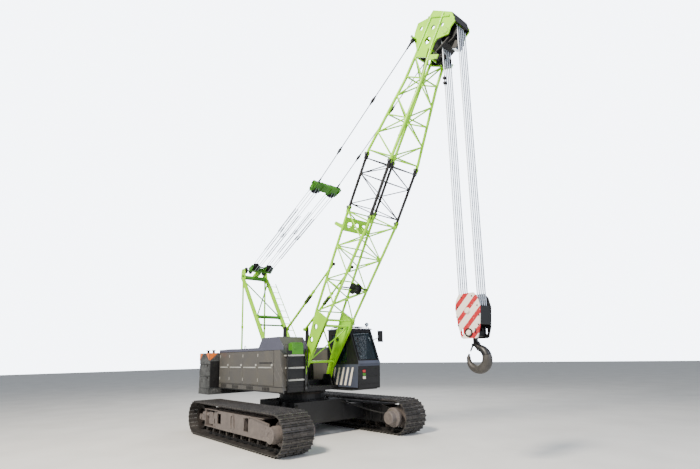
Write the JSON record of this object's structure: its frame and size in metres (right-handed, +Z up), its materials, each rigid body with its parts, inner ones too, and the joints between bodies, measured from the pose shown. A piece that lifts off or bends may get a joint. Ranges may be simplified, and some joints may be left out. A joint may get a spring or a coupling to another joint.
{
  "type": "crawler crane",
  "caption": "Crawler crane with tracks, slewing upperworks with cab and counterweight, gantry, luffing lattice boom and a reeved hook block.",
  "frame": {"origin": "middle of the footprint box, on the ground", "axes": "+X the way the boom points, +Y the crane's left, +Z up"},
  "size_m": [11.386, 5.55, 11.3598],
  "materials": {
    "lime_paint": "gloss",
    "black_paint": "satin",
    "grey_paint": "satin",
    "track_steel": "worn",
    "cast_iron": "rough",
    "wire_rope": "wire",
    "tinted_glass": "polished",
    "block_paint": "gloss",
    "seat_cloth": "woven"
  },
  "bodies": {
    "undercarriage": {"carbody": "black_paint", "slew_ring": "black_paint", "track_frame_R": "track_steel", "track_frame_L": "track_steel", "track_R": "track_steel", "track_L": "track_steel", "drive_sprocket_R": "track_steel", "drive_sprocket_L": "track_steel", "idler_R": "track_steel", "idler_L": "track_steel", "travel_motor_R": "track_steel", "travel_motor_L": "track_steel"},
    "upperworks": {"revolving_deck": "black_paint", "gantry_frame": "lime_paint", "gantry_link_R": "lime_paint", "gantry_link_L": "lime_paint", "gantry_sheaves": "cast_iron", "house_R": "grey_paint", "house_L": "grey_paint", "engine_block": "cast_iron", "counterweight_base": "cast_iron", "counterweight_stack_R": "cast_iron", "counterweight_stack_L": "cast_iron", "cab_shell": "black_paint", "windscreen": "tinted_glass", "cab_side_window": "tinted_glass", "operator_seat": "seat_cloth", "cab_console": "black_paint"},
    "hoist_drum": {"hoist_drum": "wire_rope"},
    "luff_drum": {"luff_drum": "wire_rope"},
    "house_door_R1": {"house_door_R1": "grey_paint"},
    "house_door_R2": {"house_door_R2": "grey_paint"},
    "house_door_R3": {"house_door_R3": "grey_paint"},
    "house_door_R4": {"house_door_R4": "grey_paint"},
    "house_door_L1": {"house_door_L1": "grey_paint"},
    "house_door_L2": {"house_door_L2": "grey_paint"},
    "cab_door": {"cab_door": "black_paint", "cab_door_window": "tinted_glass"},
    "boom": {"boom_base": "lime_paint", "boom_insert": "black_paint", "boom_top": "lime_paint"},
    "head_sheaves": {"head_sheaves": "cast_iron"},
    "guide_sheave": {"guide_sheave": "cast_iron"},
    "falls": {"rope_falls": "wire_rope"},
    "block": {"hook_block": "block_paint"},
    "hook": {"hook": "cast_iron"},
    "hook_latch": {"hook_latch": "cast_iron"},
    "reeving": {"lower_spreader": "lime_paint", "near_luff_ropes": "wire_rope"},
    "middle_ropes": {"middle_luff_ropes": "wire_rope"},
    "pendants": {"pendant_R": "wire_rope", "pendant_L": "wire_rope", "upper_spreader": "lime_paint", "far_luff_ropes": "wire_rope"},
    "backstop_tube_R": {"backstop_tube_R": "lime_paint"},
    "backstop_tube_L": {"backstop_tube_L": "lime_paint"},
    "backstop_rod_R": {"backstop_rod_R": "lime_paint"},
    "backstop_rod_L": {"backstop_rod_L": "lime_paint"}
  },
  "joints": [
    {"name": "slew", "type": "hinge", "parent": "undercarriage", "child": "upperworks", "pos_m": [-1.54303, 0, 1.42], "axis": [0, 0, 1], "continuous": true},
    {"name": "boom_luff", "type": "hinge", "parent": "upperworks", "child": "boom", "pos_m": [-0.76603, 0, 1.792], "axis": [0, -1, 0], "range_deg": [-28.52, 21.48]},
    {"name": "falls_swing", "type": "hinge", "parent": "boom", "child": "falls", "pos_m": [5.33695, 0, 10.54296], "axis": [0, -1, 0], "range_deg": [-21.48, 28.52]},
    {"name": "hook_hoist", "type": "slide", "parent": "falls", "child": "block", "axis": [0, 0, 1], "range_m": [-2, 5.3], "deforming": ["rope_falls"]},
    {"name": "hook_swivel", "type": "hinge", "parent": "block", "child": "hook", "pos_m": [5.33695, 0, 2.8], "axis": [0, 0, 1], "continuous": true},
    {"name": "latch_hinge", "type": "hinge", "parent": "hook", "child": "hook_latch", "pos_m": [5.26495, 0, 2.66], "axis": [0, -1, 0], "range_deg": [0, 28], "stiffness_Nm_per_rad": 4, "springref_deg": -14.32},
    {"name": "head_sheaves_turn", "type": "hinge", "parent": "boom", "child": "head_sheaves", "pos_m": [5.33695, 0, 10.54296], "axis": [0, 1, 0], "continuous": true},
    {"name": "guide_sheave_turn", "type": "hinge", "parent": "boom", "child": "guide_sheave", "pos_m": [4.99517, 0, 10.01352], "axis": [0, 1, 0], "continuous": true},
    {"name": "hoist_drum_turn", "type": "hinge", "parent": "upperworks", "child": "hoist_drum", "pos_m": [-2.69303, 0, 2.16], "axis": [0, 1, 0], "continuous": true},
    {"name": "luff_drum_turn", "type": "hinge", "parent": "upperworks", "child": "luff_drum", "pos_m": [-3.89303, 0, 2.16], "axis": [0, 1, 0], "continuous": true},
    {"name": "reeving_swing", "type": "hinge", "parent": "upperworks", "child": "reeving", "pos_m": [-4.64303, 0, 5.93], "axis": [0, -1, 0], "range_deg": [-24.07, 18.14]},
    {"name": "middle_ropes_slide", "type": "slide", "parent": "reeving", "child": "middle_ropes", "axis": [0.8993, 0, 0.4373], "range_m": [-0.9959, 1.322]},
    {"name": "pendants_swing", "type": "hinge", "parent": "boom", "child": "pendants", "pos_m": [4.37873, 0, 10.88346], "axis": [0, -1, 0], "range_deg": [-3.4, 4.5]},
    {"name": "backstop_R_swing", "type": "hinge", "parent": "upperworks", "child": "backstop_tube_R", "pos_m": [-1.89303, -0.38, 3.45], "axis": [0, -1, 0], "range_deg": [-27.91, 21.03]},
    {"name": "backstop_rod_R_slide", "type": "slide", "parent": "backstop_tube_R", "child": "backstop_rod_R", "axis": [0.8173, 0, 0.5762], "range_m": [-0.7378, 0.9793]},
    {"name": "backstop_L_swing", "type": "hinge", "parent": "upperworks", "child": "backstop_tube_L", "pos_m": [-1.89303, 0.38, 3.45], "axis": [0, -1, 0], "range_deg": [-27.91, 21.03]},
    {"name": "backstop_rod_L_slide", "type": "slide", "parent": "backstop_tube_L", "child": "backstop_rod_L", "axis": [0.8173, 0, 0.5762], "range_m": [-0.7378, 0.9793]},
    {"name": "house_door_R1_hinge", "type": "hinge", "parent": "upperworks", "child": "house_door_R1", "pos_m": [-4.63673, -1.54, 1.62], "axis": [0, 0, -1], "range_deg": [0, 100]},
    {"name": "house_door_R2_hinge", "type": "hinge", "parent": "upperworks", "child": "house_door_R2", "pos_m": [-3.86673, -1.54, 1.62], "axis": [0, 0, -1], "range_deg": [0, 100]},
    {"name": "house_door_R3_hinge", "type": "hinge", "parent": "upperworks", "child": "house_door_R3", "pos_m": [-2.84673, -1.54, 1.62], "axis": [0, 0, -1], "range_deg": [0, 100]},
    {"name": "house_door_R4_hinge", "type": "hinge", "parent": "upperworks", "child": "house_door_R4", "pos_m": [-1.81673, -1.54, 1.62], "axis": [0, 0, -1], "range_deg": [0, 100]},
    {"name": "house_door_L1_hinge", "type": "hinge", "parent": "upperworks", "child": "house_door_L1", "pos_m": [-3.86673, 1.54, 1.62], "axis": [0, 0, 1], "range_deg": [0, 100]},
    {"name": "house_door_L2_hinge", "type": "hinge", "parent": "upperworks", "child": "house_door_L2", "pos_m": [-2.84673, 1.54, 1.62], "axis": [0, 0, 1], "range_deg": [0, 100]},
    {"name": "cab_door_hinge", "type": "hinge", "parent": "upperworks", "child": "cab_door", "pos_m": [-0.74273, 1.62, 1.53], "axis": [0, 0, 1], "range_deg": [0, 100]}
  ],
  "couplings": [
    {"joint": "falls_swing", "follows": "boom_luff", "ratio": -1},
    {"joint": "reeving_swing", "follows": "boom_luff", "ratio": 0.84303},
    {"joint": "middle_ropes_slide", "follows": "boom_luff", "m_per_rad": -2.6539},
    {"joint": "pendants_swing", "follows": "boom_luff", "ratio": -0.15697},
    {"joint": "backstop_R_swing", "follows": "boom_luff", "ratio": 0.97773},
    {"joint": "backstop_L_swing", "follows": "boom_luff", "ratio": 0.97773},
    {"joint": "backstop_rod_R_slide", "follows": "boom_luff", "m_per_rad": -1.9653},
    {"joint": "backstop_rod_L_slide", "follows": "boom_luff", "m_per_rad": -1.9653}
  ]
}
